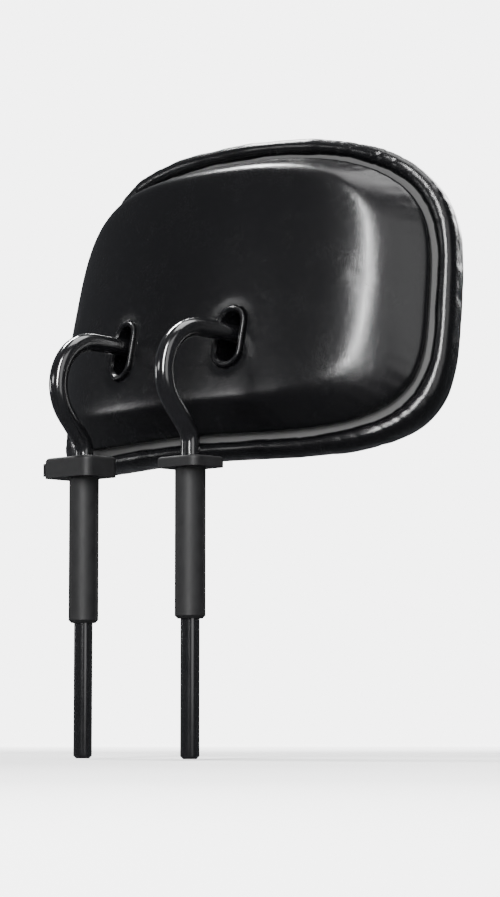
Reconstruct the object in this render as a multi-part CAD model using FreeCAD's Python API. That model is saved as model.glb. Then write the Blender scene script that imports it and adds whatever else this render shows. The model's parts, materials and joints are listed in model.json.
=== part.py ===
import FreeCAD, Part
import os
from math import asin, atan2, cos, degrees, hypot, pi, radians, sin, sqrt, tan

V = FreeCAD.Vector

# Chair headrest on two swan-necked posts. Millimetres, +Z up, the sitter faces -Y.
# The origin lies midway between the two posts, on the seat plane of the guide heads,
# which is the top of the chair back. The sitter's right is -X.

# ---- Posts: one bent steel bar ----
POST_D = 10.0
POST_PITCH = 82.0
POST_X = POST_PITCH / 2
POST_FOOT_Z = -150.0
POST_FOOT_CHAMFER = 1.5
KINK_Z = 18.0            # where the upright leg starts to lean rearward
KINK_BEND_R = 12.0
HOOK_Y = -6.0            # centre of the swan neck's large arc
HOOK_Z = 49.0
HOOK_R = 25.0
RUN_DROP = 2.0           # degrees that the forward run falls away from the hook
PIVOT_Y = -65.0          # the cross run inside the pad, which is the tilt axis
CORNER_R = 14.0          # bends between the forward runs and the cross run

# ---- Height latch ----
NOTCH_STEP = 10.0
NOTCH_COUNT = 7
NOTCH_DEPTH = 1.4
NOTCH_H = 3.0
LATCH_Z = 4.2
LATCH_TRAVEL = 3.0
WIRE_D = 1.8
WIRE_HALF_Y = 7.4

# ---- Guides ----
SLEEVE_R = 8.0
SLEEVE_LENGTH = 78.0
SLEEVE_TIP_CHAMFER = 1.5
POST_CLEARANCE = 0.05
HEAD_HALF_Y = 12.0
HEAD_CORNER_R = 5.0
LATCH_HEAD_H = 11.0
LATCH_HEAD_IN = 15.0     # from the post's axis towards the middle of the chair
LATCH_HEAD_OUT = 21.0    # from the post's axis outwards
PLAIN_HEAD_H = 5.5
PLAIN_HEAD_HALF_X = 15.0
BUTTON_HALF_Y = 8.0
BUTTON_H = 7.0
BUTTON_IN = 12.5
BUTTON_OUT = 25.0
BUTTON_GAP = 0.3

# ---- Pad: every layer follows one bow, an arc about a vertical axis in front ----
PAD_Y = -47.0
PAD_Z = 96.5
PAD_TILT = 12.0          # degrees, top towards the front
BOW_R = 255.0
SEAM_HALF_S = 142.0      # half width of the back panel's seam, along the bow
SEAM_HALF_U = 80.0       # half height of the same seam
CORNER_POWER = 3.6       # superellipse exponent of the outline
TAPER = 0.045            # the outline narrows by this share from mid height to the top
RING_POINTS = 40
SKIN = 1.2               # leather with its backing
FIT = 0.25               # air between neighbouring soft layers
HARD_FIT = 0.05          # air between hard pieces that sit close
COVER_HEM = 12.0         # front cover turned over the board's rear edge
PANEL_HEM = 10.0         # back cover turned under the shell's front edge

BOARD_FRONT = -10.5
BOARD_REAR = -3.5
BOARD_HALF_X = 123.5
BOARD_HALF_U = 71.0
SHELL_FRONT = 0.4
SHELL_REAR = 2.9
SHELL_HALF_X = 126.5
SHELL_HALF_U = 72.5
SHELL_SLOT_ROOM = 0.1
SHELL_STUD_HOLE_N = 2.0
HEM_ROOM = 0.1           # air under a hem
FACET_DIP = 0.25         # a hem's straight facets dip this far inside the bow
CUSHION_REAR = BOARD_REAR + SKIN + HEM_ROOM + FACET_DIP
PANEL_FRONT = SHELL_FRONT - SKIN - HEM_ROOM

# ---- Slots in the back of the pad ----
SLOT_U = -28.5
SLOT_HALF_LENGTH = 14.0
SLOT_HALF_WIDTH = 6.5
BEZEL_LIP = 1.3
BEZEL_WALL = 1.5
BEZEL_FOOT_N = 0.5
BEZEL_FLANGE_N = 15.6
BEZEL_TOP_N = 17.9
BEZEL_MOUTH = 1.3        # flare of the opening's rear edge
BEZEL_EDGE_R = 1.2
BOARD_SLOT_HALF_LENGTH = 16.5
BOARD_SLOT_HALF_WIDTH = 8.5

# ---- Tilt clamps ----
CLAMP_X = 13.0
CLAMP_HALF_X = 8.0
CLAMP_HALF_U = 17.0
CLAMP_SCREW_U = 11.5
CLAMP_CAP_T = 9.0
CLAMP_SPLIT = 0.6
CLAMP_CORNER_R = 2.5
BUSH_R = 6.6
BUSH_HALF_X = 9.5
BUSH_SPLIT = 0.8
SCREW_R = 2.5
SCREW_HOLE_R = 2.7
SCREW_HEAD_R = 4.4
SCREW_HEAD_H = 3.2
SCREW_SOCKET_R = 2.0
SCREW_SOCKET_DEPTH = 2.0
SCREW_PROUD = 0.8        # the screw's tip beyond the board's rear face
TNUT_FLANGE_R = 8.0
TNUT_FLANGE_T = 0.9
TNUT_BARREL_R = 3.6
TNUT_SHORT = 0.3         # the barrel stops short of the board's front face

# ---- Pocket in the foam for the cross run and its clamps ----
POCKET_ROOM_X = 4.0
POCKET_ROOM_U = 2.0
POCKET_ROOM_N = 1.0

# ---- Small fasteners ----
STAPLE_WIRE = 0.6
STAPLE_CROWN = 9.0
STAPLE_LEG = 4.0
STAPLE_SPREAD = 0.72      # the rows stop short of the rounded corners
STAPLE_INSET = 0.7        # share of the hem between the rows and the board's edge
CLIP_PLACES = [(-95, -36), (95, -36), (-92, 39), (92, 39), (0, -50), (0, 52)]
CLIP_SHANK_R = 2.9
CLIP_HEAD_R = 6.0
CLIP_HEAD_T = 1.35
CLIP_ROOM = 0.15
CLIP_SHORT = 0.4          # the tip stops short of the board's front face
CLIP_TIP = 1.2            # from the board's front face to the first barb's groove
CLIP_BARBS = 3
CLIP_STUD_R = 1.9
CLIP_STUD_N = 1.8         # the stud's tip in the shell
CLIP_BARB_R = 2.1
CLIP_BARB_PITCH = 1.9
CLIP_BARB_GROOVE = 0.7

REACH = 60.0              # cutting tools run this far past the piece they cut

POST_R = POST_D / 2
BEZEL_S = BOW_R * asin(POST_X / (BOW_R + (BEZEL_FLANGE_N + BEZEL_TOP_N) / 2))
TILT = radians(PAD_TILT)
DROP = radians(RUN_DROP)


# ---------- helpers ----------

def solid_of(shape):
    """The one solid in a boolean's result."""
    solids = shape.Solids
    if len(solids) != 1:
        raise ValueError("expected one solid, found %d" % len(solids))
    return solids[0]


def on_pad(shape):
    """Moves a shape from the pad's own frame (x, rearward, up) to the headrest's frame."""
    placed = shape.copy()
    placed.rotate(V(0, 0, 0), V(1, 0, 0), PAD_TILT)
    placed.translate(V(0, PAD_Y, PAD_Z))
    return placed


def pad_frame(y, z):
    """Pad coordinates (rearward, up) of a point given in the headrest's frame."""
    dy, dz = y - PAD_Y, z - PAD_Z
    return dy * cos(TILT) + dz * sin(TILT), dz * cos(TILT) - dy * sin(TILT)


def pad_point(s, u, n):
    """A point of the pad: s along the bow, u up, n rearward from the seam's surface."""
    angle = s / BOW_R
    return V((BOW_R + n) * sin(angle), (BOW_R + n) * cos(angle) - BOW_R, u)


def outline_radius(angle):
    """Radius of a unit superellipse in the given direction."""
    power = CORNER_POWER
    return (abs(cos(angle)) ** power + abs(sin(angle)) ** power) ** (-1 / power)


def taper_at(u):
    return 1 - TAPER * u / SEAM_HALF_U


def ring(grow_s, grow_u, n, lift=0.0):
    """Closed smooth outline on the bow, larger than the seam by the two amounts."""
    points = []
    for k in range(RING_POINTS):
        angle = 2 * pi * k / RING_POINTS
        r = outline_radius(angle)
        u = (SEAM_HALF_U + grow_u) * r * sin(angle)
        s = (SEAM_HALF_S + grow_s) * r * cos(angle) * taper_at(u)
        points.append(pad_point(s, u + lift, n))
    curve = Part.BSplineCurve()
    curve.interpolate(Points=points, PeriodicFlag=True)
    return Part.Wire(curve.toShape())


def soft_block(front_n, rings, rear_n):
    """Closed crowned solid lofted through rings from one middle point to the other."""
    sections = [Part.Vertex(pad_point(0, 0, front_n))]
    for row in rings:
        sections.append(ring(*row))
    sections.append(Part.Vertex(pad_point(0, 0, rear_n)))
    block = Part.makeLoft(sections, True, True)
    return solid_of(block)


def flat_outline(half_x, half_u):
    """Face of a superellipse in the plane x, up."""
    points = []
    for k in range(RING_POINTS):
        angle = 2 * pi * k / RING_POINTS
        r = outline_radius(angle)
        u = half_u * r * sin(angle)
        points.append(V(half_x * r * cos(angle) * taper_at(u), 0, u))
    curve = Part.BSplineCurve()
    curve.interpolate(Points=points, PeriodicFlag=True)
    return Part.Face(Part.Wire(curve.toShape()))


def bowed_plate(front_n, rear_n, half_x, half_u):
    """Plate of even thickness that follows the bow, cut to a superellipse."""
    height = 4 * half_u
    foot = V(0, -BOW_R, -height / 2)
    outer = Part.makeCylinder(BOW_R + rear_n, height, foot)
    inner = Part.makeCylinder(BOW_R + front_n, height, foot)
    prism = flat_outline(half_x, half_u)
    prism.translate(V(0, -BOW_R / 2, 0))
    prism = prism.extrude(V(0, BOW_R, 0))
    return solid_of(prism.common(outer).cut(inner))


def oblong_wire(half_length, half_width, y):
    """Upright round-ended outline in the plane of x and up."""
    straight = half_length - half_width
    left, right = -half_width, half_width
    top = Part.Arc(V(right, 0, straight), V(0, 0, half_length), V(left, 0, straight))
    bottom = Part.Arc(V(left, 0, -straight), V(0, 0, -half_length), V(right, 0, -straight))
    side_in = Part.LineSegment(V(left, 0, straight), V(left, 0, -straight))
    side_out = Part.LineSegment(V(right, 0, -straight), V(right, 0, straight))
    wire = Part.Wire([e.toShape() for e in (top, side_in, bottom, side_out)])
    wire.translate(V(0, y, 0))
    return wire


def oblong_prism(half_length, half_width, front, rear):
    """Round-ended bar of material along Y, from front to rear."""
    face = Part.Face(oblong_wire(half_length, half_width, front))
    return face.extrude(V(0, rear - front, 0))


def oblong_flare(half_length, half_width, front, rear, spread):
    """The same, wider by spread at its rear end."""
    ends = [oblong_wire(half_length, half_width, front),
            oblong_wire(half_length + spread, half_width + spread, rear)]
    return Part.makeLoft(ends, True, True)


def at_place(shape, s, u):
    """Sets a shape built along +Y about the seam surface's origin at a place on the bow."""
    placed = shape.copy()
    placed.rotate(V(0, 0, 0), V(0, 0, 1), -degrees(s / BOW_R))
    return placed.translate(pad_point(s, u, 0))


def y_cylinder(radius, front, rear, x=0.0, z=0.0):
    return Part.makeCylinder(radius, rear - front, V(x, front, z), V(0, 1, 0))


def centred_box(x0, x1, y0, y1, z0, z1):
    return Part.makeBox(x1 - x0, y1 - y0, z1 - z0, V(x0, y0, z0))


def rounded_block(x0, x1, half_y, z0, z1, corner_r, top_r):
    """Block with rounded upright corners and a softened top edge."""
    block = centred_box(x0, x1, -half_y, half_y, z0, z1)
    upright = [e for e in block.Edges if abs(e.tangentAt(e.FirstParameter).z) > 0.9]
    block = block.makeFillet(corner_r, upright)
    top = [e for e in block.Edges if e.BoundBox.ZMin > z1 - 1e-6]
    return block.makeFillet(top_r, top)


# ---------- posts ----------

def neck_geometry():
    """Lean of the neck and the tangent points of the bar's centre line in Y, Z."""
    dy, dz = HOOK_Y, HOOK_Z - KINK_Z
    distance = hypot(dy, dz)
    lean = atan2(dy, dz) + asin(HOOK_R / distance)
    length = sqrt(distance ** 2 - HOOK_R ** 2)
    tangent = (length * sin(lean), KINK_Z + length * cos(lean))
    return lean, tangent


LEAN, NECK_TANGENT = neck_geometry()
HOOK_END = radians(90) + DROP
RUN_START = (HOOK_Y + HOOK_R * cos(HOOK_END), HOOK_Z + HOOK_R * sin(HOOK_END))
PIVOT_Z = RUN_START[1] - (RUN_START[0] - PIVOT_Y) * tan(DROP)
PIVOT_D, PIVOT_U = pad_frame(PIVOT_Y, PIVOT_Z)


def leg_edges(side):
    """Edges of one leg's centre line, from its foot to the middle of the cross run."""
    x = side * POST_X
    back_off = KINK_BEND_R * tan(LEAN / 2)
    kink_start = V(x, 0, KINK_Z - back_off)
    kink_end = V(x, back_off * sin(LEAN), KINK_Z + back_off * cos(LEAN))
    half = LEAN / 2
    kink_middle = V(x, KINK_BEND_R * (1 - cos(half)), kink_start.z + KINK_BEND_R * sin(half))
    neck_end = V(x, NECK_TANGENT[0], NECK_TANGENT[1])
    start_angle = atan2(NECK_TANGENT[1] - HOOK_Z, NECK_TANGENT[0] - HOOK_Y)
    middle_angle = (start_angle + HOOK_END) / 2
    hook_middle = V(x, HOOK_Y + HOOK_R * cos(middle_angle), HOOK_Z + HOOK_R * sin(middle_angle))
    run_start = V(x, RUN_START[0], RUN_START[1])
    forward = V(0, -cos(DROP), -sin(DROP))
    inward = V(-side, 0, 0)
    corner = V(x, PIVOT_Y, PIVOT_Z)
    run_end = corner - forward * CORNER_R
    cross_start = corner + inward * CORNER_R
    bend_centre = run_end + inward * CORNER_R
    to_middle = (corner - bend_centre).normalize() * CORNER_R
    bend_middle = bend_centre + to_middle
    return [
        Part.LineSegment(V(x, 0, POST_FOOT_Z), kink_start).toShape(),
        Part.Arc(kink_start, kink_middle, kink_end).toShape(),
        Part.LineSegment(kink_end, neck_end).toShape(),
        Part.Arc(neck_end, hook_middle, run_start).toShape(),
        Part.LineSegment(run_start, run_end).toShape(),
        Part.Arc(run_end, bend_middle, cross_start).toShape(),
        Part.LineSegment(cross_start, V(0, PIVOT_Y, PIVOT_Z)).toShape(),
    ]


def make_post_half(side):
    path = Part.Wire(leg_edges(side))
    circle = Part.Circle(V(side * POST_X, 0, POST_FOOT_Z), V(0, 0, 1), POST_R)
    section = Part.Wire(circle.toShape())
    bar = Part.Solid(path.makePipeShell([section], True, True))
    tip = Part.makeCone(POST_R - POST_FOOT_CHAMFER, POST_R + 5, POST_FOOT_CHAMFER + 5,
                        V(side * POST_X, 0, POST_FOOT_Z))
    collar = Part.makeCylinder(POST_R + 3, POST_FOOT_CHAMFER + 2, V(side * POST_X, 0, POST_FOOT_Z))
    return bar.cut(collar.cut(tip))


def make_post_bar():
    """Both legs, both swan necks and the cross run, with latch notches in one leg."""
    bar = make_post_half(-1).fuse(make_post_half(1)).removeSplitter()
    floor_x = POST_X - POST_R + NOTCH_DEPTH
    for k in range(NOTCH_COUNT):
        z = LATCH_Z - k * NOTCH_STEP
        bar = bar.cut(centred_box(floor_x - 6, floor_x, -8, 8, z - NOTCH_H / 2, z + NOTCH_H / 2))
    return solid_of(bar)


# ---------- guides and latch ----------

def sleeve(x):
    """Tube that drops into the chair back, without its head."""
    tube = Part.makeCylinder(SLEEVE_R, SLEEVE_LENGTH, V(x, 0, -SLEEVE_LENGTH))
    foot = [e for e in tube.Edges if e.BoundBox.ZMax < -SLEEVE_LENGTH + 0.1]
    return tube.makeChamfer(SLEEVE_TIP_CHAMFER, foot)


def post_bore(x, top):
    bore = Part.makeCylinder(POST_R + POST_CLEARANCE, SLEEVE_LENGTH + top + 2,
                             V(x, 0, -SLEEVE_LENGTH - 1))
    mouth = Part.makeCone(POST_R, POST_R + 2.0, 2.0, V(x, 0, top - 1.0))
    return bore.fuse(mouth)


def make_plain_guide():
    x = -POST_X
    head = rounded_block(x - PLAIN_HEAD_HALF_X, x + PLAIN_HEAD_HALF_X, HEAD_HALF_Y,
                         0, PLAIN_HEAD_H, HEAD_CORNER_R, 1.6)
    body = head.fuse(sleeve(x)).cut(post_bore(x, PLAIN_HEAD_H))
    return solid_of(body)


def make_latch_guide():
    """Guide with a taller head, hollow for the latch wire and open outwards for the button."""
    x = POST_X
    head = rounded_block(x - LATCH_HEAD_IN, x + LATCH_HEAD_OUT, HEAD_HALF_Y,
                         0, LATCH_HEAD_H, HEAD_CORNER_R, 2.2)
    body = head.fuse(sleeve(x)).cut(post_bore(x, LATCH_HEAD_H))
    wire_half_y = WIRE_HALF_Y + WIRE_D / 2 + 0.5
    wire_room = centred_box(x - 9.5, x + BUTTON_IN + 1, -wire_half_y, wire_half_y,
                            LATCH_Z - 1.4, LATCH_Z + 1.4)
    low = LATCH_Z - BUTTON_H / 2 + 0.8 - BUTTON_GAP
    high = low + BUTTON_H + 2 * BUTTON_GAP
    half_y = BUTTON_HALF_Y + BUTTON_GAP
    button_room = centred_box(x + BUTTON_IN - LATCH_TRAVEL - 0.5, x + LATCH_HEAD_OUT + 1,
                              -half_y, half_y, low, high)
    return solid_of(body.cut(wire_room).cut(button_room))


def make_release_button():
    x = POST_X
    low = LATCH_Z - BUTTON_H / 2 + 0.8
    button = centred_box(x + BUTTON_IN, x + BUTTON_OUT, -BUTTON_HALF_Y, BUTTON_HALF_Y,
                         low, low + BUTTON_H)
    outer = [e for e in button.Edges if e.BoundBox.XMin > x + BUTTON_OUT - 0.1]
    button = button.makeFillet(1.2, outer)
    grips = [Part.makeCylinder(0.5, 2 * BUTTON_HALF_Y, V(x + BUTTON_OUT, -BUTTON_HALF_Y, z), V(0, 1, 0))
             for z in (low + 2.4, low + 3.5, low + 4.6)]
    for grip in grips:
        button = button.cut(grip)
    half = WIRE_HALF_Y
    for y in (-half, half):
        hole = Part.makeCylinder(WIRE_D / 2 + 0.02, 3.1, V(x + BUTTON_IN - 0.1, y, LATCH_Z), V(1, 0, 0))
        button = button.cut(hole)
    return solid_of(button)


def make_lock_wire():
    """Open loop round the post: its inboard run sits in a notch of the post."""
    r = WIRE_D / 2
    bend = 1.9
    x_out = POST_X + BUTTON_IN + 2.8
    x_in = POST_X - POST_R + NOTCH_DEPTH - r - 0.1
    y = WIRE_HALF_Y
    z = LATCH_Z
    edges = [Part.LineSegment(V(x_out, -y, z), V(x_in + bend, -y, z)).toShape()]
    corner = bend * (1 - cos(pi / 4))
    edges.append(Part.Arc(V(x_in + bend, -y, z), V(x_in + corner, -y + corner, z),
                          V(x_in, -y + bend, z)).toShape())
    edges.append(Part.LineSegment(V(x_in, -y + bend, z), V(x_in, y - bend, z)).toShape())
    edges.append(Part.Arc(V(x_in, y - bend, z), V(x_in + corner, y - corner, z),
                          V(x_in + bend, y, z)).toShape())
    edges.append(Part.LineSegment(V(x_in + bend, y, z), V(x_out, y, z)).toShape())
    section = Part.Wire(Part.Circle(V(x_out, -y, z), V(1, 0, 0), r).toShape())
    return Part.Solid(Part.Wire(edges).makePipeShell([section], True, True))


# ---------- pad: hard parts ----------

def slot_prism(side, half_length, half_width, front, rear, u=SLOT_U):
    """Straight oblong bar of material along the neck that runs through it."""
    prism = oblong_prism(half_length, half_width, front, rear)
    prism.translate(V(side * POST_X, 0, u))
    return prism


def slot_cutter(half_length, half_width, front, rear, u=SLOT_U):
    cutters = [slot_prism(side, half_length, half_width, front, rear, u) for side in (-1, 1)]
    return cutters[0].fuse(cutters[1])


def screw_places():
    for side in (-1, 1):
        for end in (-1, 1):
            yield side * CLAMP_X, PIVOT_U + end * CLAMP_SCREW_U


def clip_shanks(radius, front, rear):
    return [at_place(y_cylinder(radius, front, rear), s, u) for s, u in CLIP_PLACES]


def make_inner_board():
    board = bowed_plate(BOARD_FRONT, BOARD_REAR, BOARD_HALF_X, BOARD_HALF_U)
    slot_u = (SLOT_U + PIVOT_U) / 2 - 1
    board = board.cut(slot_cutter(BOARD_SLOT_HALF_LENGTH, BOARD_SLOT_HALF_WIDTH, -REACH, REACH, slot_u))
    for x, u in screw_places():
        board = board.cut(y_cylinder(TNUT_BARREL_R + HARD_FIT, -REACH, REACH, x, u))
    for hole in clip_shanks(CLIP_SHANK_R + CLIP_ROOM, -REACH, REACH):
        board = board.cut(hole)
    return solid_of(board)


def board_rear_at(x):
    return sqrt((BOW_R + BOARD_REAR) ** 2 - x ** 2) - BOW_R


def board_front_at(x):
    return sqrt((BOW_R + BOARD_FRONT) ** 2 - x ** 2) - BOW_R


def make_t_nuts():
    """Four separate T-nuts, flange on the board's rear face and barrel in the board."""
    nuts = []
    for x, u in screw_places():
        rear = board_rear_at(0) + HARD_FIT
        barrel_front = board_front_at(x) + TNUT_SHORT
        nut = y_cylinder(TNUT_FLANGE_R, rear, rear + TNUT_FLANGE_T, x, u)
        nut = nut.fuse(y_cylinder(TNUT_BARREL_R, barrel_front, rear + HARD_FIT, x, u))
        nuts.append(solid_of(nut.cut(y_cylinder(SCREW_R + HARD_FIT, -REACH, REACH, x, u))))
    return Part.Compound(nuts)


def clamp_block(side, front, rear):
    """One half of a saddle clamp round the cross run's bush, drilled for its two screws."""
    x = side * CLAMP_X
    block = centred_box(x - CLAMP_HALF_X, x + CLAMP_HALF_X, front, rear,
                        PIVOT_U - CLAMP_HALF_U, PIVOT_U + CLAMP_HALF_U)
    along = [e for e in block.Edges if abs(e.tangentAt(e.FirstParameter).y) > 0.9]
    block = block.makeFillet(CLAMP_CORNER_R, along)
    seat = Part.makeCylinder(BUSH_R, 2 * REACH, V(x - REACH, PIVOT_D, PIVOT_U), V(1, 0, 0))
    block = block.cut(seat)
    for screw_x, u in screw_places():
        if screw_x * side > 0:
            block = block.cut(y_cylinder(SCREW_HOLE_R, -REACH, REACH, screw_x, u))
    return solid_of(block)


def clamp_front():
    return PIVOT_D - BUSH_R / 2 - CLAMP_CAP_T


def make_clamp_base(side):
    rear = board_front_at(CLAMP_X + CLAMP_HALF_X) - HARD_FIT
    return clamp_block(side, PIVOT_D + CLAMP_SPLIT / 2, rear)


def make_clamp_cap(side):
    return clamp_block(side, clamp_front(), PIVOT_D - CLAMP_SPLIT / 2)


def make_clamp_screws():
    """Four separate cap-head screws, driven from the front of the caps into the T-nuts."""
    screws = []
    front = clamp_front()
    for x, u in screw_places():
        head = y_cylinder(SCREW_HEAD_R, front - SCREW_HEAD_H, front, x, u)
        shank = y_cylinder(SCREW_R, front - HARD_FIT, board_rear_at(0) + SCREW_PROUD, x, u)
        socket = y_cylinder(SCREW_SOCKET_R, front - REACH, front - SCREW_HEAD_H + SCREW_SOCKET_DEPTH, x, u)
        screws.append(solid_of(head.fuse(shank).cut(socket)))
    return Part.Compound(screws)


def make_pivot_bush(side):
    """Split nylon bush: the bar turns in it with a running fit."""
    x = side * CLAMP_X
    start = V(x - BUSH_HALF_X, PIVOT_D, PIVOT_U)
    bush = Part.makeCylinder(BUSH_R - HARD_FIT, 2 * BUSH_HALF_X, start, V(1, 0, 0))
    bore = Part.makeCylinder(POST_R + POST_CLEARANCE, 2 * REACH, V(x - REACH, PIVOT_D, PIVOT_U), V(1, 0, 0))
    half_gap = BUSH_SPLIT / 2
    split = centred_box(x - REACH, x + REACH, PIVOT_D - half_gap, PIVOT_D + half_gap, PIVOT_U, PIVOT_U + REACH)
    return solid_of(bush.cut(bore).cut(split))


def make_back_shell():
    shell = bowed_plate(SHELL_FRONT, SHELL_REAR, SHELL_HALF_X, SHELL_HALF_U)
    collar = BEZEL_WALL + SHELL_SLOT_ROOM
    shell = shell.cut(slot_cutter(SLOT_HALF_LENGTH + collar, SLOT_HALF_WIDTH + collar, -REACH, REACH))
    for hole in clip_shanks(CLIP_STUD_R + SHELL_SLOT_ROOM, -REACH, SHELL_STUD_HOLE_N):
        shell = shell.cut(hole)
    return solid_of(shell)


def make_panel_clips():
    """Six separate push clips that hold the back shell to the inner board."""
    clips = []
    for s, u in CLIP_PLACES:
        head_rear = SHELL_FRONT - HARD_FIT
        middle = head_rear - CLIP_HEAD_T / 2
        shank = y_cylinder(CLIP_SHANK_R, BOARD_FRONT + CLIP_SHORT, middle)
        head = y_cylinder(CLIP_HEAD_R, head_rear - CLIP_HEAD_T, head_rear)
        stud = y_cylinder(CLIP_STUD_R, middle, CLIP_STUD_N)
        clip = shank.fuse([head, stud]).removeSplitter()
        for k in range(CLIP_BARBS):
            start = BOARD_FRONT + CLIP_TIP + CLIP_BARB_PITCH * k
            groove = y_cylinder(CLIP_HEAD_R, start, start + CLIP_BARB_GROOVE)
            clip = clip.cut(groove.cut(y_cylinder(CLIP_BARB_R, start, start + CLIP_BARB_GROOVE)))
        clips.append(at_place(solid_of(clip), s, u))
    return Part.Compound(clips)


def make_bezel(side):
    """Glossy plastic grommet: a rounded lip that follows the bow and a straight collar."""
    lip = BEZEL_LIP + BEZEL_WALL
    flange = oblong_prism(SLOT_HALF_LENGTH + lip, SLOT_HALF_WIDTH + lip, BEZEL_FLANGE_N, BEZEL_TOP_N)
    rim = [e for e in flange.Edges if e.BoundBox.YMin > BEZEL_TOP_N - 0.01]
    flange = at_place(flange.makeFillet(BEZEL_EDGE_R, rim), side * BEZEL_S, SLOT_U)
    sag = BOW_R - sqrt(BOW_R ** 2 - POST_X ** 2)
    collar = slot_prism(side, SLOT_HALF_LENGTH + BEZEL_WALL, SLOT_HALF_WIDTH + BEZEL_WALL,
                        BEZEL_FOOT_N - sag, (BEZEL_FLANGE_N + BEZEL_TOP_N) / 2 - sag)
    opening = slot_prism(side, SLOT_HALF_LENGTH, SLOT_HALF_WIDTH, -REACH, REACH)
    mouth = oblong_flare(SLOT_HALF_LENGTH - 0.2, SLOT_HALF_WIDTH - 0.2,
                         BEZEL_TOP_N - BEZEL_MOUTH, BEZEL_TOP_N + 0.1, BEZEL_MOUTH)
    mouth = at_place(mouth, side * BEZEL_S, SLOT_U)
    return solid_of(flange.fuse(collar).cut(opening).cut(mouth))


# ---------- pad: soft parts ----------

# Growth beyond the seam along the bow and upright, and depth, from front to rear.
CUSHION_FRONT_N = -55.0
CUSHION_RINGS = [
    (-104, -56, -54.5),
    (-64, -39, -53.5),
    (-34, -25, -50.5),
    (-14, -13, -45.0),
    (1.0, -2.0, -36.5),
    (8.6, 5.2, -26.0),
    (12.0, 8.2, -16.0),
    (11.8, 9.4, -7.5),
    (8.6, 8.0, 0.2),
    (-6, -6, CUSHION_REAR),
    (-30, -24, CUSHION_REAR),
    (-60, -40, CUSHION_REAR),
    (-90, -55, CUSHION_REAR),
    (-112, -64, CUSHION_REAR),
]
CUSHION_MIDDLE_N = -21.0

# The same for the back panel, with how far each outline sits above the seam's middle.
PANEL_REAR_N = 17.2
PANEL_RINGS = [
    (-112, -64, PANEL_FRONT),
    (-90, -55, PANEL_FRONT),
    (-60, -40, PANEL_FRONT),
    (-30, -24, PANEL_FRONT),
    (-3.0, -3.0, PANEL_FRONT),
    (-2.4, -2.4, 2.5),
    (-7.0, -4.8, 5.6),
    (-14.0, -7.6, 8.9, 0.8),
    (-22.0, -10.2, 12.0, 1.6),
    (-29.0, -13.0, 14.3, 2.4),
    (-36.0, -17.0, 15.6, 2.6),
    (-50.0, -27.0, 16.3, 2.6),
    (-80.0, -44.0, 16.8, 2.0),
    (-112, -62, 17.1, 1.0),
]
PANEL_MIDDLE_N = 0.0


def inside_rings(rings, gap, middle_n):
    """The same rings drawn in by a gap, for the surface under the skin."""
    drawn = []
    for grow_s, grow_u, n, *lift in rings:
        shift = gap if n < middle_n else -gap
        drawn.append((grow_s - gap, grow_u - gap, n + shift, *lift))
    return drawn


def cushion_block(gap):
    rings = inside_rings(CUSHION_RINGS, gap, CUSHION_MIDDLE_N)
    return soft_block(CUSHION_FRONT_N + gap, rings, CUSHION_REAR - gap)


def panel_block(gap):
    rings = inside_rings(PANEL_RINGS, gap, PANEL_MIDDLE_N)
    return soft_block(PANEL_FRONT + gap, rings, PANEL_REAR_N - gap)


def make_front_cover():
    """Leather skin round the cushion, turned over the board's rear edge and open inside."""
    rear_room = bowed_plate(BOARD_REAR - 1, 8, BOARD_HALF_X - COVER_HEM, BOARD_HALF_U - COVER_HEM)
    skin = cushion_block(0).cut(cushion_block(SKIN))
    return solid_of(skin.cut(rear_room))


def make_foam_core():
    foam = cushion_block(SKIN + FIT)
    foam = foam.cut(bowed_plate(BOARD_FRONT - FIT, REACH, BOARD_HALF_X + FIT, BOARD_HALF_U + FIT))
    half_x = POST_X + POST_R + POCKET_ROOM_X
    half_u = CLAMP_HALF_U + POCKET_ROOM_U
    pocket = centred_box(-half_x, half_x, clamp_front() - SCREW_HEAD_H - POCKET_ROOM_N, REACH,
                         PIVOT_U - half_u, PIVOT_U + half_u)
    return solid_of(foam.cut(pocket))


def make_back_cover(bezels):
    room = bowed_plate(PANEL_FRONT - 3, SHELL_FRONT, SHELL_HALF_X - PANEL_HEM, SHELL_HALF_U - PANEL_HEM)
    skin = panel_block(0).cut(panel_block(SKIN)).cut(room)
    skin = skin.cut(slot_cutter(SLOT_HALF_LENGTH + BEZEL_WALL, SLOT_HALF_WIDTH + BEZEL_WALL, -REACH, REACH))
    for bezel in bezels:
        skin = skin.cut(bezel)
    return solid_of(skin)


def make_back_foam():
    foam = panel_block(SKIN + FIT)
    foam = foam.cut(bowed_plate(-REACH, SHELL_REAR + FIT, 2 * SEAM_HALF_S, 2 * SEAM_HALF_U))
    collar = BEZEL_WALL + FIT
    foam = foam.cut(slot_cutter(SLOT_HALF_LENGTH + collar, SLOT_HALF_WIDTH + collar, -REACH, REACH))
    return solid_of(foam)


def staple(rear_n, towards):
    """A wire staple with its crown at rear_n and legs towards the front or the rear."""
    w = STAPLE_WIRE
    half = STAPLE_CROWN / 2
    crown = centred_box(-half, half, rear_n, rear_n + w, -w / 2, w / 2)
    leg_end = rear_n + w / 2 + towards * STAPLE_LEG
    y0, y1 = min(rear_n + w / 2, leg_end), max(rear_n + w / 2, leg_end)
    legs = [centred_box(x, x + w, y0, y1, -w / 2, w / 2) for x in (-half, half - w)]
    return solid_of(crown.fuse(legs).removeSplitter())


def staple_places(half_s, half_u, along, up):
    """Places round a rectangle: two rows of staples and two columns turned upright."""
    for row in (-1, 1):
        for k in range(along):
            yield half_s * STAPLE_SPREAD * (2 * k / (along - 1) - 1), row * half_u, False
    for column in (-1, 1):
        for k in range(up):
            yield column * half_s, half_u * 0.5 * (2 * k / (up - 1) - 1), True


def make_staples(rear_n, towards, half_s, half_u, along, up):
    staples = []
    for s, u, upright in staple_places(half_s, half_u, along, up):
        one = staple(rear_n, towards)
        if upright:
            one.rotate(V(0, 0, 0), V(0, 1, 0), 90)
        staples.append(at_place(one, s, u))
    return Part.Compound(staples)


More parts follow.
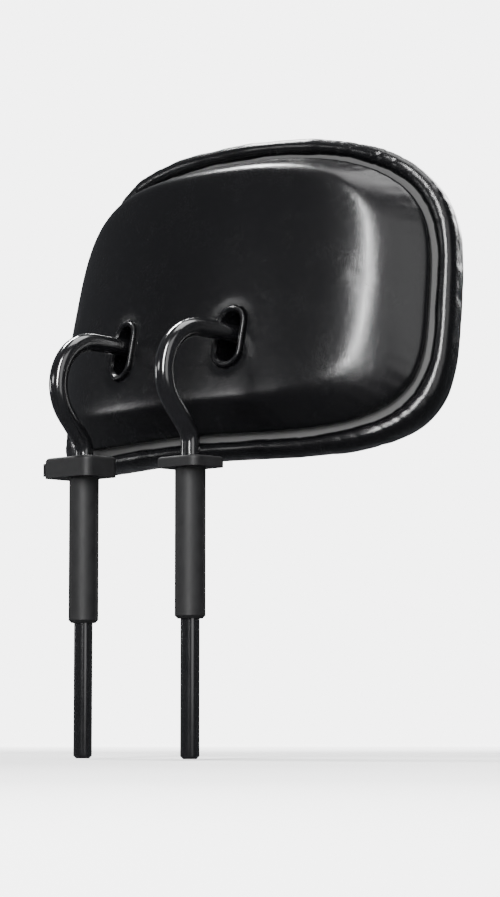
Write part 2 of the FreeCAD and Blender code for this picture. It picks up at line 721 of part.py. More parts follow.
def make_cover_staples():
    half_s = BOW_R * asin((BOARD_HALF_X - COVER_HEM / 2) / BOW_R)
    return make_staples(CUSHION_REAR + 0.05, -1, half_s, BOARD_HALF_U - COVER_HEM * STAPLE_INSET, 9, 3)


def make_panel_staples():
    half_s = BOW_R * asin((SHELL_HALF_X - PANEL_HEM / 2) / BOW_R)
    return make_staples(PANEL_FRONT - STAPLE_WIRE - 0.02, 1, half_s, SHELL_HALF_U - PANEL_HEM * STAPLE_INSET, 8, 2)


# ---------- write the parts ----------

def main():
    os.makedirs("parts", exist_ok=True)
    bezels = [make_bezel(-1), make_bezel(1)]
    parts = {
        "post_bar": make_post_bar(),
        "guide_sleeve_right": make_plain_guide(),
        "guide_sleeve_left": make_latch_guide(),
        "release_button": make_release_button(),
        "lock_wire": make_lock_wire(),
    }
    pad_parts = {
        "inner_board": make_inner_board(),
        "t_nuts": make_t_nuts(),
        "clamp_base_right": make_clamp_base(-1),
        "clamp_base_left": make_clamp_base(1),
        "clamp_cap_right": make_clamp_cap(-1),
        "clamp_cap_left": make_clamp_cap(1),
        "clamp_screws": make_clamp_screws(),
        "pivot_bush_right": make_pivot_bush(-1),
        "pivot_bush_left": make_pivot_bush(1),
        "foam_core": make_foam_core(),
        "front_cover": make_front_cover(),
        "cover_staples": make_cover_staples(),
        "back_shell": make_back_shell(),
        "panel_clips": make_panel_clips(),
        "panel_staples": make_panel_staples(),
        "back_foam": make_back_foam(),
        "back_cover": make_back_cover(bezels),
        "slot_bezel_right": bezels[0],
        "slot_bezel_left": bezels[1],
    }
    for name, shape in pad_parts.items():
        parts[name] = on_pad(shape)
    for name, shape in parts.items():
        shape.exportStep("parts/%s.step" % name)
        box = shape.BoundBox
        print("%-20s solids %2d volume %9.1f valid %s  x %6.1f %6.1f  y %6.1f %6.1f  z %6.1f %6.1f" % (
            name, len(shape.Solids), shape.Volume, shape.isValid(),
            box.XMin, box.XMax, box.YMin, box.YMax, box.ZMin, box.ZMax))
    print("tilt axis at y %.3f z %.3f" % (PIVOT_Y, PIVOT_Z))


main()
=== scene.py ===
import json
import math

import bmesh
import bpy
import numpy as np
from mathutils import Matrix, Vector
from mathutils.bvhtree import BVHTree


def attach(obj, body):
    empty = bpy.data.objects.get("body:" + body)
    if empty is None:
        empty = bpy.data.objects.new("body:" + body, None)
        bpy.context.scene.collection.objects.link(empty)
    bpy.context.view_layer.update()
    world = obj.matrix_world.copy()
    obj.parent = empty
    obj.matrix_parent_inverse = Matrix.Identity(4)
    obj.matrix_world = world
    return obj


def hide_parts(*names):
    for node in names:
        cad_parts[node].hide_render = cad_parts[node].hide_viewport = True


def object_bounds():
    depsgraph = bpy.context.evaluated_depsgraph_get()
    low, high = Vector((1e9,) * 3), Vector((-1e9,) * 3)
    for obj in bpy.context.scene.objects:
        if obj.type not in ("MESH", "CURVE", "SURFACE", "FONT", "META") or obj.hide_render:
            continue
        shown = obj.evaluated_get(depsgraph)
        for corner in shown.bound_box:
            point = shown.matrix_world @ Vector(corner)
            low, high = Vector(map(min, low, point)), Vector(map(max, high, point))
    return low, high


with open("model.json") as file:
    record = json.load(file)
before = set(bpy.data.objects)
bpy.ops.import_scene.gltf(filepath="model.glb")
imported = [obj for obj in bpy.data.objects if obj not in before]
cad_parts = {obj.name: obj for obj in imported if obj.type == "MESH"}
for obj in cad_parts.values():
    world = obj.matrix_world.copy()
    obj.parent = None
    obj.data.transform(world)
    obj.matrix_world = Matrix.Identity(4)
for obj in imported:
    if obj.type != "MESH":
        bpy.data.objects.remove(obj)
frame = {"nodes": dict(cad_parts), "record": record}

cad_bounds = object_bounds()

# Metres, in the CAD frame: the sitter faces -Y, the sitter's right is -X.
# The pad's layers follow one bow, as in the CAD model. On it a place has s (along the bow),
# u (up) and n (rearward from the surface that carries the seam between cushion and panel).
PAD_ORIGIN = np.array([0.0, -0.047, 0.0965])
PAD_TILT = math.radians(12.0)
BOW_R = 0.255
SEAM_S = 0.142           # half the seam's width
SEAM_U = 0.080           # half the seam's height
CORNER_POWER = 3.6       # exponent of the superellipse
TAPER = 0.045            # the outline narrows by this share from its middle to its top
SLOT_X = 0.041
SLOT_U = -0.0285
SLOT_HALF_LENGTH = 0.014
SLOT_HALF_WIDTH = 0.0065
BEZEL_FLANGE = 0.00295   # how far the flange reaches out from the opening
BEZEL_COLLAR = 0.0018    # the same for the collar below it
BEZEL_FLANGE_N = 0.0156  # depth n of the flange's underside
LEATHER = 0.0012
SLOT_CUT_N = 0.012       # the slots are cut only in leather that lies beyond this depth
SLOT_TURN_GAP = 0.0003   # the leather turned in under a flange lies this far below it

TINY = 1e-9              # keeps a division away from nothing
CLOTH_FRAMES = 20
INNER_CAP_LEVEL = 1.999  # faces beyond this level close the form behind the hem


# ---------- pad geometry ----------

def pad_points(s, u, n):
    """Points on the pad: s along the bow, u up, n rearward from the seam's surface."""
    s, u, n = np.broadcast_arrays(s, u, n)
    angle = s / BOW_R
    x = (BOW_R + n) * np.sin(angle)
    d = (BOW_R + n) * np.cos(angle) - BOW_R
    y = d * math.cos(PAD_TILT) - u * math.sin(PAD_TILT)
    z = u * math.cos(PAD_TILT) + d * math.sin(PAD_TILT)
    return np.stack([x, y, z], -1) + PAD_ORIGIN


def pad_coordinates(points):
    """The s, u, n of points given in the row frame."""
    local = points - PAD_ORIGIN
    d = local[:, 1] * math.cos(PAD_TILT) + local[:, 2] * math.sin(PAD_TILT)
    u = local[:, 2] * math.cos(PAD_TILT) - local[:, 1] * math.sin(PAD_TILT)
    x = local[:, 0]
    n = np.hypot(x, d + BOW_R) - BOW_R
    return np.arctan2(x, d + BOW_R) * BOW_R, u, n


def outline_radius(angle):
    power = CORNER_POWER
    return (np.abs(np.cos(angle)) ** power + np.abs(np.sin(angle)) ** power) ** (-1 / power)


def outline_points(row, angle):
    """Points at the given directions round the outline that a profile row describes."""
    grow_s, grow_u, n, lift = row
    r = outline_radius(angle)
    u = (SEAM_U + grow_u) * r * np.sin(angle)
    s = (SEAM_S + grow_s) * r * np.cos(angle) * (1 - TAPER * u / SEAM_U)
    return pad_points(s, u + lift, n)


def smooth_profile(knots, count):
    """A smooth curve through rows in mm, as count rows in metres, evenly spaced.

    A row holds the growth of the seam's outline along the bow and upright, the depth n and,
    where it isn't 0, the lift. The curve is a Catmull-Rom spline."""
    knots = np.array([(*row, 0.0)[:4] for row in knots], float) / 1000
    steps = 24
    ends = np.vstack([2 * knots[0] - knots[1], knots, 2 * knots[-1] - knots[-2]])
    t = np.linspace(0, 1, steps, endpoint=False)[:, None]
    rows = []
    for a, b, c, d in zip(ends, ends[1:], ends[2:], ends[3:]):
        rows.append(0.5 * (2 * b + (c - a) * t + (2 * a - 5 * b + 4 * c - d) * t ** 2
                           + (3 * b - a - 3 * c + d) * t ** 3))
    rows.append(knots[-1:])
    curve = np.vstack(rows)
    length = np.concatenate([[0], np.cumsum(np.linalg.norm(np.diff(curve[:, 1:3], axis=0), axis=1))])
    at = np.linspace(0, length[-1], count)
    return np.stack([np.interp(at, length, curve[:, k]) for k in range(4)], -1)


class Pillow:
    """Closed soft form: an outer cap, loops round its edge and an inner cap, all quads.

    Each vertex keeps its direction round the outline and its level, which is 0 in the middle
    of the outer cap, 1 at its border, 2 at the inner cap's border and 3 in that cap's middle."""

    def __init__(self, outer_knots, edge_knots, inner_knots, columns, rows, edge_loops):
        self.columns, self.rows = columns, rows
        cap_samples = 3 * rows + 1
        outer = smooth_profile(outer_knots, cap_samples)
        edge = smooth_profile(edge_knots, edge_loops + 2)
        inner = smooth_profile(inner_knots, cap_samples)
        self.verts, self.faces = [], []
        self.level, self.angles = [], []
        outer_ids = self._cap(outer, 0.0)
        previous = self._border(outer_ids)
        border_angles = self._border(self._angle_grid())
        for k in range(1, edge_loops + 1):
            loop = self._loop(edge[k], border_angles, 1.0 + k / (edge_loops + 1))
            self._band(previous, loop)
            previous = loop
        inner_ids = self._cap(inner[::-1], 3.0)
        self._band(previous, self._border(inner_ids))

    def _grid(self):
        """The cap's square grid, -1 to 1 both ways."""
        across = np.linspace(-1, 1, self.columns + 1)
        upright = np.linspace(-1, 1, self.rows + 1)
        return np.meshgrid(across, upright, indexing="ij")

    def _angle_grid(self):
        a, b = self._grid()
        return np.arctan2(b, a)

    def _add(self, points, levels, angles):
        start = len(self.verts)
        self.verts.extend(map(tuple, points))
        self.level.extend(levels)
        self.angles.extend(angles)
        return np.arange(start, start + len(points))

    def _cap(self, profile, level):
        """Cap whose profile runs from its middle (first row) to its border (last row)."""
        a, b = self._grid()
        m = np.maximum(np.abs(a), np.abs(b)).ravel()
        angle = self._angle_grid().ravel()
        at = np.linspace(0, 1, len(profile))
        points = outline_points([np.interp(m, at, profile[:, k]) for k in range(4)], angle)
        ids = self._add(points, np.abs(level - m), angle).reshape(self.columns + 1, self.rows + 1)
        outward = level == 0.0
        for i in range(self.columns):
            for j in range(self.rows):
                quad = (ids[i, j], ids[i + 1, j], ids[i + 1, j + 1], ids[i, j + 1])
                self.faces.append(quad if outward else quad[::-1])
        return ids

    def _border(self, grid):
        """The grid's border entries in order round the outline, without repeats."""
        return np.concatenate([grid[:-1, 0], grid[-1, :-1], grid[:0:-1, -1], grid[0, :0:-1]])

    def _loop(self, row, angles, level):
        return self._add(outline_points(row, angles), np.full(len(angles), level), angles)

    def _band(self, first, second):
        count = len(first)
        for k in range(count):
            after = (k + 1) % count
            self.faces.append((first[k], second[k], second[after], first[after]))

    def build(self, name):
        mesh = bpy.data.meshes.new(name)
        mesh.from_pydata(self.verts, [], [tuple(int(i) for i in f) for f in self.faces])
        fields = {"level": self.level, "turn_c": np.cos(self.angles), "turn_s": np.sin(self.angles)}
        for label, values in fields.items():
            field = mesh.attributes.new(label, "FLOAT", "POINT")
            field.data.foreach_set("value", np.asarray(values, np.float32))
        mesh.update()
        obj = bpy.data.objects.new(name, mesh)
        bpy.context.scene.collection.objects.link(obj)
        return obj


def coordinates(obj):
    co = np.empty(len(obj.data.vertices) * 3)
    obj.data.vertices.foreach_get("co", co)
    return co.reshape(-1, 3)


def set_coordinates(obj, co):
    obj.data.vertices.foreach_set("co", co.astype(np.float32).ravel())
    obj.data.update()


def normals(obj):
    values = np.empty(len(obj.data.vertices) * 3)
    obj.data.vertex_normals.foreach_get("vector", values)
    return values.reshape(-1, 3)


def attribute(obj, label):
    values = np.empty(len(obj.data.vertices))
    obj.data.attributes[label].data.foreach_get("value", values)
    return values


def make_active(obj):
    bpy.ops.object.select_all(action="DESELECT")
    obj.select_set(True)
    bpy.context.view_layer.objects.active = obj


def face_out(obj):
    make_active(obj)
    bpy.ops.object.mode_set(mode="EDIT")
    bpy.ops.mesh.select_all(action="SELECT")
    bpy.ops.mesh.normals_make_consistent(inside=False)
    bpy.ops.object.mode_set(mode="OBJECT")


def stuff(obj, free, pressure, cap, shrink=0.0):
    """Cloth under pressure, held where free is 0, with each point's move capped."""
    start = coordinates(obj)
    pins = obj.vertex_groups.new(name="pins")
    for index, value in enumerate(free):
        pins.add([index], 1.0 - float(value), "REPLACE")
    cloth = obj.modifiers.new("Cloth", "CLOTH")
    settings = cloth.settings
    settings.quality = 6
    settings.mass = 0.25
    settings.tension_stiffness = 20
    settings.compression_stiffness = 12
    settings.shear_stiffness = 8
    settings.bending_stiffness = 0.6
    settings.use_pressure = True
    settings.uniform_pressure_force = pressure
    settings.vertex_group_mass = "pins"
    settings.pin_stiffness = 1.0
    settings.shrink_min = shrink
    settings.effector_weights.gravity = 0
    cloth.collision_settings.use_collision = False
    cloth.point_cache.frame_start = 1
    cloth.point_cache.frame_end = CLOTH_FRAMES
    scene = bpy.context.scene
    for step in range(1, CLOTH_FRAMES + 1):
        scene.frame_set(step)
    moved = obj.evaluated_get(bpy.context.evaluated_depsgraph_get())
    end = np.empty(len(start) * 3)
    moved.data.vertices.foreach_get("co", end)
    obj.modifiers.remove(cloth)
    obj.vertex_groups.remove(pins)
    scene.frame_set(1)
    move = end.reshape(-1, 3) - start
    size = np.linalg.norm(move, axis=1, keepdims=True)
    limit = cap * np.tanh(size / cap)
    share = limit / np.maximum(size, TINY) * np.sqrt(free)[:, None]
    set_coordinates(obj, start + move * share)


def subdivide(obj):
    modifier = obj.modifiers.new("Subdivision", "SUBSURF")
    modifier.levels = 1
    make_active(obj)
    bpy.ops.object.modifier_apply(modifier=modifier.name)


def open_inside(obj):
    """Takes away the closing cap behind the hem, which only the stuffing needed."""
    mesh = bmesh.new()
    mesh.from_mesh(obj.data)
    level = mesh.verts.layers.float["level"]
    inside = [f for f in mesh.faces if all(v[level] > INNER_CAP_LEVEL for v in f.verts)]
    bmesh.ops.delete(mesh, geom=inside, context="FACES")
    mesh.to_mesh(obj.data)
    mesh.free()


def thicken(obj):
    """Gives the leather its thickness, inwards."""
    modifier = obj.modifiers.new("Thickness", "SOLIDIFY")
    modifier.thickness = LEATHER
    modifier.offset = -1
    make_active(obj)
    bpy.ops.object.modifier_apply(modifier=modifier.name)


def shade_smooth(obj):
    obj.data.polygons.foreach_set("use_smooth", [True] * len(obj.data.polygons))
    obj.data.update()


def ramp(value, low, high):
    t = np.clip((value - low) / (high - low), 0, 1)
    return t * t * (3 - 2 * t)


# ---------- front cushion ----------

CUSHION_FRONT = [
    (-142, -80, -55), (-104, -56, -54.5), (-64, -39, -53.5), (-34, -25, -50.5), (-14, -13, -45),
    (1, -2, -36.5), (8.6, 5.2, -26), (12, 8.2, -16), (12.2, 9.6, -8),
]
CUSHION_LIP = [
    (12.2, 9.6, -8), (11.6, 9.8, -3.5), (9.8, 8.8, 0.2), (6.8, 6.2, 1.9), (3.8, 3.6, 1.6),
    (1.2, 1.3, -0.8), (0.2, 0, -4), (-1.6, -1.8, -6), (-5, -5, -5.4), (-8.5, -8, -3.4),
    (-12, -11, -2.5), (-18, -15, -2.1), (-30, -21, -2.1),
]
CUSHION_REAR = [(-30, -21, -2.1), (-60, -40, -2.1), (-142, -80, -2.1)]
FRONT_SEAM_LEVEL = 0.745
SEAM_DEPTH = 0.0016
SEAM_PUFF = 0.0005       # swelling on both sides of the seam
GATHER_PITCH = 0.0095
GATHER_DEPTH = 0.00035
LIP_WAVES = ((17, 0.0002, 1.3), (39, 0.0001, 0.0))  # waves round the lip, height, phase


def make_front_cushion():
    pillow = Pillow(CUSHION_FRONT, CUSHION_LIP, CUSHION_REAR, columns=104, rows=60, edge_loops=22)
    cover = pillow.build("front_cushion_leather")
    face_out(cover)
    level = attribute(cover, "level")
    stuff(cover, 1 - ramp(level, 0.9, 1.35), pressure=3.0, cap=0.0025, shrink=-0.012)
    open_inside(cover)
    subdivide(cover)
    finish_front_cushion(cover)
    return cover


def outline_run(angle):
    """Distance round the seam, from 0 to 1, for a direction, and the whole way in metres."""
    table_angle = np.linspace(-math.pi, math.pi, 2001)
    r = outline_radius(table_angle)
    x, y = SEAM_S * r * np.cos(table_angle), SEAM_U * r * np.sin(table_angle)
    run = np.concatenate([[0], np.cumsum(np.hypot(np.diff(x), np.diff(y)))])
    return np.interp(angle, table_angle, run / run[-1]), run[-1]


def corner_weight(angle):
    """1 in the middle of each corner, 0 along the straights."""
    return ramp(np.abs(np.sin(2 * angle)), 0.35, 0.95)


def finish_front_cushion(cover):
    """Seam groove round the front, gathers at the corners and a slight waviness of the lip."""
    level = attribute(cover, "level")
    angle = np.arctan2(attribute(cover, "turn_s"), attribute(cover, "turn_c"))
    run, perimeter = outline_run(angle)
    metres = run * perimeter
    out = normals(cover)
    seam = np.exp(-((level - FRONT_SEAM_LEVEL) / 0.010) ** 2)
    puff = np.exp(-((np.abs(level - FRONT_SEAM_LEVEL) - 0.035) / 0.02) ** 2)
    move = -SEAM_DEPTH * seam + SEAM_PUFF * puff
    lip = ramp(level, 0.93, 1.1) * (1 - ramp(level, 1.5, 1.7))
    corner = corner_weight(angle)
    gathers = np.zeros_like(metres)
    random = np.random.default_rng(11)
    for centre in np.arange(0.004, perimeter, GATHER_PITCH):
        place = centre + random.uniform(-0.003, 0.003)
        width = random.uniform(0.0009, 0.0016)
        depth = random.uniform(0.3, 1.0)
        gap = np.abs((metres - place + perimeter / 2) % perimeter - perimeter / 2)
        gathers += depth * np.exp(-(gap / width) ** 2)
    move -= GATHER_DEPTH * gathers * lip * corner
    turn = run * 2 * math.pi
    wave = sum(height * np.sin(count * turn + phase) for count, height, phase in LIP_WAVES)
    move += wave * ramp(level, 0.75, 1.0) * (1 - ramp(level, 1.5, 1.7))
    set_coordinates(cover, coordinates(cover) + out * move[:, None])
    shade_smooth(cover)


# ---------- back panel ----------

PANEL_BACK = [
    (-142, -80, 17.2, 0), (-112, -62, 17.1, 1), (-80, -44, 16.8, 2), (-50, -27, 16.4, 2.6),
    (-38, -17.8, 16.0, 2.6), (-32, -14.2, 15.3, 2.5), (-27, -12.2, 13.8, 2.1), (-20, -9.7, 11.1, 1.4),
    (-14, -7.6, 8.6, 0.8), (-7, -4.8, 5.3, 0), (-4, -3.5, 3.8, 0),
]
PANEL_EDGE = [
    (-4, -3.5, 3.8), (-2.7, -2.6, 2.4), (-2.3, -2.3, 1.0), (-2.2, -2.2, -0.8), (-3, -3, -2.0),
    (-6, -6, -2.2), (-10, -9, -1.3), (-16, -13, -1.0), (-25, -17.5, -1.0),
]
PANEL_UNDER = [(-25, -17.5, -1.0), (-60, -45, -1.0), (-142, -80, -1.0)]
BEZEL_PULL = 0.0006      # how deep the leather is drawn in at a bezel
BEZEL_PULL_REACH = 0.0035
TUCK_DEPTH = 0.00012


def make_back_panel():
    pillow = Pillow(PANEL_BACK, PANEL_EDGE, PANEL_UNDER, columns=120, rows=68, edge_loops=14)
    cover = pillow.build("back_panel_leather")
    face_out(cover)
    level = attribute(cover, "level")
    near_slot = slot_distance(coordinates(cover))
    free = (1 - ramp(level, 0.86, 1.0)) * ramp(near_slot, 0.003, 0.02)
    stuff(cover, free, pressure=1.0, cap=0.0004)
    open_inside(cover)
    subdivide(cover)
    finish_back_panel(cover)
    cut_slots(cover)
    shade_smooth(cover)
    return cover


def slot_offset(points):
    """Offset of points from the middle line of the nearer slot, across and upright."""
    _, u, _ = pad_coordinates(points)
    straight = SLOT_HALF_LENGTH - SLOT_HALF_WIDTH
    side = np.copysign(SLOT_X, points[:, 0])
    axis_u = SLOT_U + np.clip(u - SLOT_U, -straight, straight)
    return points[:, 0] - side, u - axis_u


def slot_distance(points):
    """Distance outside the nearer slot's opening, along the pad (negative inside)."""
    across, up = slot_offset(points)
    return np.hypot(across, up) - SLOT_HALF_WIDTH


def beside_slot(points, distance, depth=None):
    """Points moved to a distance from the nearer slot's opening, and to a depth if one is given."""
    across, up = slot_offset(points)
    _, u, n = pad_coordinates(points)
    scale = (SLOT_HALF_WIDTH + distance) / np.maximum(np.hypot(across, up), TINY)
    new_n = n if depth is None else np.full_like(n, depth)
    x = points[:, 0] + across * (scale - 1)
    new_s = np.arcsin(x / (BOW_R + new_n)) * BOW_R
    return pad_points(new_s, u + up * (scale - 1), new_n)


def cut_slots(cover):
    """Opens the leather round each bezel's flange and turns its edge in under it."""
    mesh = bmesh.new()
    mesh.from_mesh(cover.data)
    middles = np.array([face.calc_center_median() for face in mesh.faces])
    _, _, n = pad_coordinates(middles)
    cut = (n > SLOT_CUT_N) & (slot_distance(middles) < BEZEL_FLANGE)
    gone = [face for face, inside in zip(list(mesh.faces), cut) if inside]
    bmesh.ops.delete(mesh, geom=gone, context="FACES")
    edges = [e for e in mesh.edges if e.is_boundary]
    edges = [e for e in edges if pad_coordinates(np.array([e.verts[0].co]))[2][0] > SLOT_CUT_N]
    rim = list({v for e in edges for v in e.verts})
    move_rim(rim, BEZEL_FLANGE)
    for distance in (BEZEL_FLANGE, BEZEL_COLLAR):
        ring = bmesh.ops.extrude_edge_only(mesh, edges=edges)["geom"]
        edges = [g for g in ring if isinstance(g, bmesh.types.BMEdge)]
        verts = [g for g in ring if isinstance(g, bmesh.types.BMVert)]
        move_rim(verts, distance, BEZEL_FLANGE_N - SLOT_TURN_GAP)
    bmesh.ops.recalc_face_normals(mesh, faces=mesh.faces)
    mesh.to_mesh(cover.data)
    mesh.free()


def move_rim(verts, distance, depth=None):
    places = beside_slot(np.array([v.co for v in verts]), distance, depth)
    for vert, place in zip(verts, places):
        vert.co = place


def finish_back_panel(cover):
    """Small tucks along the panel's edge at the corners, and the pull towards each bezel."""
    level = attribute(cover, "level")
    angle = np.arctan2(attribute(cover, "turn_s"), attribute(cover, "turn_c"))
    run, _ = outline_run(angle)
    out = normals(cover)
    places = coordinates(cover)
    near = slot_distance(places)
    pull = np.exp(-(np.maximum(near - BEZEL_FLANGE, 0) / BEZEL_PULL_REACH) ** 2)
    move = -BEZEL_PULL * pull * (pad_coordinates(places)[2] > SLOT_CUT_N)
    edge = ramp(level, 0.86, 0.98) * (1 - ramp(level, 1.5, 1.8))
    turn = run * 2 * math.pi
    wave = np.sin(61 * turn) * np.sin(26 * turn + 0.7)
    move += TUCK_DEPTH * wave * edge * corner_weight(angle)
    set_coordinates(cover, places + out * move[:, None])


# ---------- stitches ----------

STITCH_OFFSET = 0.028    # in levels, from the seam to each row
STITCH_LENGTH = 0.0034
STITCH_PITCH = 0.0046
STITCH_RADIUS = 0.00036
PROFILE_STEPS = 1200     # steps from the front's middle, level 0, to its border, level 1


def make_stitches(cover):
    """A row of thread stitches on each side of the front seam, laid on the cushion."""
    profile = smooth_profile(CUSHION_FRONT, PROFILE_STEPS + 1)
    polygons = [p.vertices for p in cover.data.polygons]
    surface = BVHTree.FromPolygons([v.co for v in cover.data.vertices], polygons)
    angles = np.linspace(-math.pi, math.pi, 4001)
    verts, faces = [], []
    for offset in (-STITCH_OFFSET, STITCH_OFFSET):
        closed = outline_points(profile[int((FRONT_SEAM_LEVEL + offset) * PROFILE_STEPS)], angles)
        run = np.concatenate([[0], np.cumsum(np.linalg.norm(np.diff(closed, axis=0), axis=1))])
        for start in np.arange(0, run[-1] - STITCH_PITCH, STITCH_PITCH):
            ends = [surface.find_nearest(Vector([np.interp(m, run, closed[:, i]) for i in range(3)]))[0]
                    for m in (start, start + STITCH_LENGTH)]
            add_stitch(verts, faces, np.array(ends[0]), np.array(ends[1]), STITCH_RADIUS)
    mesh = bpy.data.meshes.new("front_stitches")
    mesh.from_pydata(verts, [], faces)
    obj = bpy.data.objects.new("front_stitches", mesh)
    bpy.context.scene.collection.objects.link(obj)
    return obj


def add_stitch(verts, faces, start, end, radius):
    """One stitch: a short rounded thread, thickest in its middle."""
    along = end - start
    length = np.linalg.norm(along)
    along = along / length
    side = np.cross(along, [0, 0, 1.0])
    side = side / np.linalg.norm(side)
    up = np.cross(side, along)
    shape = [(0.0, 0.25), (0.18, 0.85), (0.5, 1.0), (0.82, 0.85), (1.0, 0.25)]
    sides = 6
    base = len(verts)
    for at, swell in shape:
        centre = start + along * length * at
        for k in range(sides):
            a = 2 * math.pi * k / sides
            verts.append(tuple(centre + (side * math.cos(a) + up * math.sin(a)) * radius * swell))
    for ring in range(len(shape) - 1):
        for k in range(sides):
            after = (k + 1) % sides
            a, b = base + ring * sides, base + (ring + 1) * sides
            faces.append((a + k, a + after, b + after, b + k))
    faces.append(tuple(base + k for k in reversed(range(sides))))
    faces.append(tuple(base + (len(shape) - 1) * sides + k for k in range(sides)))


# ---------- materials ----------

class Nodes:
    """Short way to add and join shader nodes. Scales are per metre, in the piece's own frame."""

    def __init__(self, name):
        self.material = bpy.data.materials.new(name)
        self.material.use_nodes = True
        self.tree = self.material.node_tree
        self.shader = self.tree.nodes["Principled BSDF"]

    def add(self, kind, **inputs):
        node = self.tree.nodes.new(kind)
        for label, value in inputs.items():
            self.set(node, label.replace("_", " "), value)
        return node

    def set(self, node, socket, value):
        if isinstance(value, bpy.types.NodeSocket):
            self.tree.links.new(value, node.inputs[socket])
        else:
            node.inputs[socket].default_value = value

    def where(self):
        return self.add("ShaderNodeTexCoord").outputs["Object"]

    def noise(self, vector, scale, detail=2.0, roughness=0.5):
        node = self.add("ShaderNodeTexNoise", Vector=vector, Scale=scale, Detail=detail,
                        Roughness=roughness)
        return node.outputs["Fac"]

    def math(self, operation, a, b):
        node = self.tree.nodes.new("ShaderNodeMath")
        node.operation = operation
        for index, value in enumerate((a, b)):
            if isinstance(value, bpy.types.NodeSocket):
                self.tree.links.new(value, node.inputs[index])
            else:
                node.inputs[index].default_value = value
        return node.outputs[0]

    def spread(self, value, low, high, to_low, to_high):
        node = self.add("ShaderNodeMapRange", Value=value)
        for index, number in enumerate((low, high, to_low, to_high), start=1):
            node.inputs[index].default_value = number
        return node.outputs[0]

    def colours(self, value, low, high):
        node = self.add("ShaderNodeValToRGB", Fac=value)
        node.color_ramp.elements[0].color = (*low, 1)
        node.color_ramp.elements[1].color = (*high, 1)
        return node.outputs["Color"]

    def bump(self, height, distance, strength):
        node = self.add("ShaderNodeBump", Height=height, Distance=distance, Strength=strength)
        return node.outputs["Normal"]


def leather_material():
    """Near-black leather whose look comes from its gloss: pebbles of about 1 mm with slightly
    bent borders, finer pores on them, and patches worn smoother."""
    m = Nodes("black_leather")
    where = m.where()
    bend = m.add("ShaderNodeTexNoise", Vector=where, Scale=260.0, Detail=1.0).outputs["Color"]
    shift = m.add("ShaderNodeVectorMath", Vector=bend)
    shift.operation = "SCALE"
    shift.inputs["Scale"].default_value = 0.0016
    place = m.tree.nodes.new("ShaderNodeVectorMath")
    place.operation = "ADD"
    m.tree.links.new(where, place.inputs[0])
    m.tree.links.new(shift.outputs[0], place.inputs[1])
    cells = m.add("ShaderNodeTexVoronoi", Vector=place.outputs[0], Scale=950.0)
    cells.feature = "DISTANCE_TO_EDGE"
    pebble = m.spread(cells.outputs["Distance"], 0.0, 0.22, 0.0, 1.0)
    fine = m.noise(where, 2600.0, 3.0, 0.6)
    broad = m.noise(where, 14.0, 3.0, 0.55)
    worn = m.noise(where, 46.0, 4.0, 0.6)
    tone = m.math("ADD", m.math("MULTIPLY", broad, 0.6), m.math("MULTIPLY", pebble, 0.4))
    m.set(m.shader, "Base Color", m.colours(tone, (0.0006, 0.0006, 0.0008), (0.0020, 0.0020, 0.0024)))
    rough = m.math("ADD", m.spread(worn, 0.3, 0.7, 0.255, 0.285), m.math("MULTIPLY", pebble, -0.05))
    m.set(m.shader, "Roughness", rough)
    m.set(m.shader, "Specular IOR Level", 0.45)
    height = m.math("ADD", pebble, m.math("MULTIPLY", fine, 0.35))
    m.set(m.shader, "Normal", m.bump(height, 0.00008, 0.30))
    return m.material


def thread_material():
    m = Nodes("black_thread")
    where = m.where()
    twist = m.add("ShaderNodeTexWave", Vector=where, Scale=900.0, Distortion=2.0).outputs["Fac"]
    m.set(m.shader, "Base Color", m.colours(twist, (0.012, 0.012, 0.013), (0.04, 0.04, 0.043)))
    m.set(m.shader, "Roughness", m.spread(twist, 0, 1, 0.5, 0.7))
    m.set(m.shader, "Normal", m.bump(twist, 0.0001, 0.6))
    return m.material


def gloss_steel_material():
    m = Nodes("gloss_black_steel")
    where = m.where()
    orange_peel = m.noise(where, 420.0, 2.0)
    marks = m.noise(where, 90.0, 5.0, 0.7)
    m.set(m.shader, "Base Color", m.colours(marks, (0.0015, 0.0015, 0.0018), (0.004, 0.004, 0.0045)))
    m.set(m.shader, "Roughness", m.spread(marks, 0.3, 0.75, 0.14, 0.20))
    m.set(m.shader, "Specular IOR Level", 0.5)
    m.set(m.shader, "Coat Weight", 1.0)
    m.set(m.shader, "Coat Roughness", 0.12)
    m.set(m.shader, "Normal", m.bump(orange_peel, 0.00005, 0.25))
    return m.material


def gloss_plastic_material():
    m = Nodes("gloss_black_plastic")
    where = m.where()
    scuff = m.noise(where, 300.0, 5.0, 0.65)
    m.set(m.shader, "Base Color", m.colours(scuff, (0.0012, 0.0012, 0.0015), (0.003, 0.003, 0.0035)))
    m.set(m.shader, "Roughness", m.spread(scuff, 0.3, 0.7, 0.24, 0.34))
    m.set(m.shader, "Specular IOR Level", 0.3)
    m.set(m.shader, "Normal", m.bump(m.noise(where, 700.0, 2.0), 0.00004, 0.3))
    return m.material


def matt_plastic_material():
    m = Nodes("matt_black_plastic")
    where = m.where()
    spark = m.noise(where, 3200.0, 2.0, 0.7)
    scuff = m.noise(where, 160.0, 4.0, 0.6)
    m.set(m.shader, "Base Color", m.colours(scuff, (0.003, 0.003, 0.0033), (0.008, 0.008, 0.0085)))
    m.set(m.shader, "Roughness", m.spread(scuff, 0.3, 0.7, 0.48, 0.60))
    m.set(m.shader, "Specular IOR Level", 0.3)
    m.set(m.shader, "Normal", m.bump(spark, 0.00008, 0.8))
    return m.material


